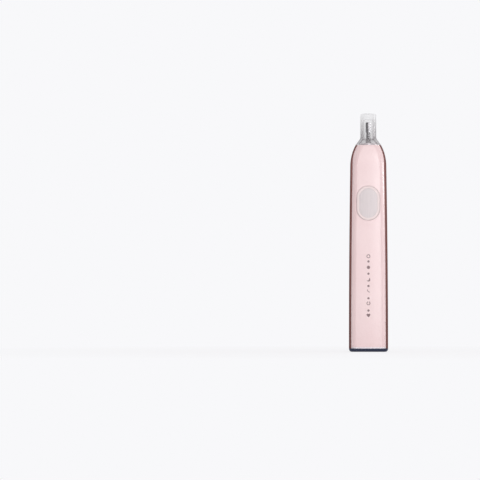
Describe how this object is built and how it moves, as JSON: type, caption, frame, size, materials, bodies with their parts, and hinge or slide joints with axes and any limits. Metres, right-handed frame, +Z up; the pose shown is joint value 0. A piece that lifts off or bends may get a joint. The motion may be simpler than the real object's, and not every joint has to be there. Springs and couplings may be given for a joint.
{
  "type": "skin scrubber",
  "caption": "Slim rechargeable skin scrubber handle with a flat-sided oval button, a column of mode lights and a swinging steel drive shaft under a clear push-on cap.",
  "frame": {"origin": "bottom centre of the base, on the surface that the handle stands on", "axes": "+Z up the handle towards the drive shaft's tip, -Y out of the button side, +X to the right when looking at the button"},
  "size_m": [0.0296, 0.0252, 0.1812],
  "materials": {
    "pink_shell": "satin",
    "rose_metal": "polished dark rose anodised",
    "dark_base": "polished dark anodised",
    "pale_trim": "gloss",
    "black_rubber": "matte",
    "grey_rubber": "satin",
    "steel": "satin",
    "polished_metal": "polished",
    "bronze": "satin",
    "copper": "enamelled",
    "ferrite": "matte",
    "lamination": "satin",
    "magnet": "nickel plated",
    "white_plastic": "matte",
    "black_plastic": "matte",
    "lead_plastic": "satin",
    "cell_wrap": "shrink wrapped",
    "board": "solder resist",
    "mauve_lens": "translucent",
    "mauve_print": "printed",
    "clear_plastic": "clear moulded",
    "button_rim": "soft touch",
    "button_pad": "silver satin"
  },
  "bodies": {
    "handle": {"front_cover": "pink_shell", "rear_cover": "pink_shell", "side_frame": "rose_metal", "base_cap": "dark_base", "base_trim": "pale_trim", "base_seal": "black_rubber", "base_screws": "steel", "coil_bobbin": "white_plastic", "charging_coil": "copper", "ferrite_disc": "ferrite", "coil_leads": "lead_plastic", "neck_collar": "polished_metal", "collar_clip": "steel", "collar_seal": "black_rubber", "shaft_boot": "grey_rubber", "front_bearing": "bronze", "rear_bearing": "bronze", "motor_can": "steel", "motor_front_bell": "steel", "motor_rear_bell": "black_plastic", "stator_core": "lamination", "stator_coils": "copper", "motor_damper": "black_rubber", "motor_terminals": "bronze", "motor_leads": "lead_plastic", "chassis": "white_plastic", "battery_cell": "cell_wrap", "battery_tabs": "steel", "battery_pads": "black_rubber", "circuit_board": "board", "board_screws": "steel", "controller_chip": "black_plastic", "charger_chip": "black_plastic", "board_parts": "black_plastic", "mode_leds": "white_plastic", "light_shield": "black_plastic", "mode_lights": "mauve_lens", "mode_marks": "mauve_print", "tact_switch": "black_plastic"},
    "cap": {"clear_cap": "clear_plastic"},
    "rotor": {"drive_shaft": "polished_metal", "rotor_core": "lamination", "rotor_magnets": "magnet"},
    "button": {"button_rim": "button_rim", "button_pad": "button_pad", "switch_plunger": "black_plastic"}
  },
  "joints": [
    {"name": "cap_pull", "type": "slide", "parent": "handle", "child": "cap", "axis": [0, 0, 1], "range_m": [0, 0.1]},
    {"name": "button_press", "type": "slide", "parent": "handle", "child": "button", "axis": [0, 1, 0], "range_m": [0, 0.00045], "stiffness_N_per_m": 1500, "springref_m": -0.0005},
    {"name": "shaft_swing", "type": "hinge", "parent": "handle", "child": "rotor", "pos_m": [0, 0, 0.15], "axis": [0, 0, 1], "range_deg": [-6, 6], "stiffness_Nm_per_rad": 0.08}
  ]
}
